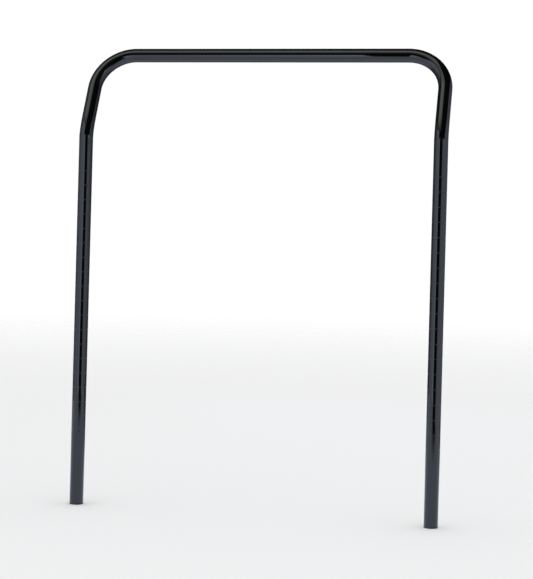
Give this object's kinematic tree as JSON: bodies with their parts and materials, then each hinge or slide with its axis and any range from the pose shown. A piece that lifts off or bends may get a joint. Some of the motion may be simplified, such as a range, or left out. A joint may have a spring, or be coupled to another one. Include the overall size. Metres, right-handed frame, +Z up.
{
  "type": "kip bar",
  "caption": "Gooseneck gymnastics kip bar: a black steel crossbar hoop on two straight legs with height-index grooves that slide into upright sockets.",
  "frame": {"origin": "midway between the two leg ends, on the line between the leg axes, where the leg sockets hold the bar", "axes": "+X along the crossbar to the bar's right leg, +Y the way the hoop leans, +Z up along the legs"},
  "size_m": [1.305, 0.1792, 1.6211],
  "materials": {
    "hoop": "gloss black paint",
    "leg_left": "gloss black paint",
    "leg_right": "gloss black paint",
    "knee_weld_left": "gloss black paint over a dressed weld",
    "knee_weld_right": "gloss black paint over a dressed weld",
    "end_plug_left": "satin black moulded plastic",
    "end_plug_right": "satin black moulded plastic"
  },
  "bodies": {
    "root": {"hoop": "hoop", "leg_left": "leg_left", "leg_right": "leg_right", "knee_weld_left": "knee_weld_left", "knee_weld_right": "knee_weld_right", "end_plug_left": "end_plug_left", "end_plug_right": "end_plug_right"}
  },
  "joints": []
}
